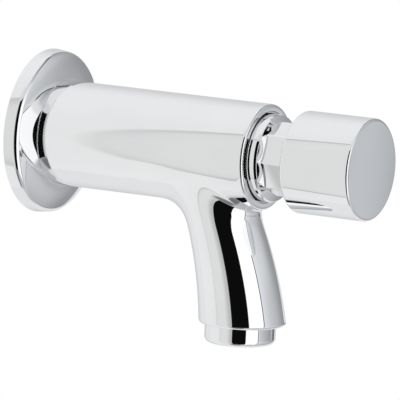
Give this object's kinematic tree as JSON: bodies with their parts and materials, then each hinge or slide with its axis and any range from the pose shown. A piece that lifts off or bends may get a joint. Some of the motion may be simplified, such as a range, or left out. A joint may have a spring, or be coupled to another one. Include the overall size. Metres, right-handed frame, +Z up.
{
  "type": "push timed tap",
  "caption": "Chrome wall tap with a tubular body, a down-turned spout with an aerator, a round wall rose and a sprung push button on a timed valve.",
  "frame": {"origin": "on the inlet axis, in the plane of the wall", "axes": "+Y into the wall along the inlet axis, so the tap stands out along -Y; +Z up, away from the outlet; +X across"},
  "size_m": [0.0564, 0.1371, 0.0922],
  "materials": {
    "chrome": "mirror plated",
    "brass": "machined",
    "steel": "bright drawn",
    "rubber": "matt",
    "white_plastic": "moulded",
    "grey_plastic": "moulded"
  },
  "bodies": {
    "tap": {"tap_body": "chrome", "wall_rose": "chrome", "rose_ring": "rubber", "inlet_nipple": "brass", "nipple_seal": "rubber", "strainer_frame": "white_plastic", "strainer_mesh": "steel", "valve_seat": "brass", "seat_ring": "rubber", "cage": "white_plastic", "spring_washer": "steel", "bonnet": "chrome", "bonnet_ring": "rubber", "stem_ring": "rubber", "gland_bush": "grey_plastic", "gland_clip": "steel", "aerator_shell": "chrome", "aerator_diffuser": "white_plastic", "aerator_screen": "steel", "aerator_seal": "rubber", "return_spring": "steel"},
    "push_assembly": {"push_button": "chrome", "stem": "steel", "lock_nut": "steel", "piston": "white_plastic", "lip_seal": "rubber", "piston_clip": "steel", "valve_holder": "brass", "valve_washer": "rubber", "valve_nut": "brass"}
  },
  "joints": [
    {"name": "push", "type": "slide", "parent": "tap", "child": "push_assembly", "axis": [0, 1, 0], "range_m": [0, 0.007], "stiffness_N_per_m": 2000, "springref_m": -0.012, "deforming": ["return_spring"]}
  ]
}
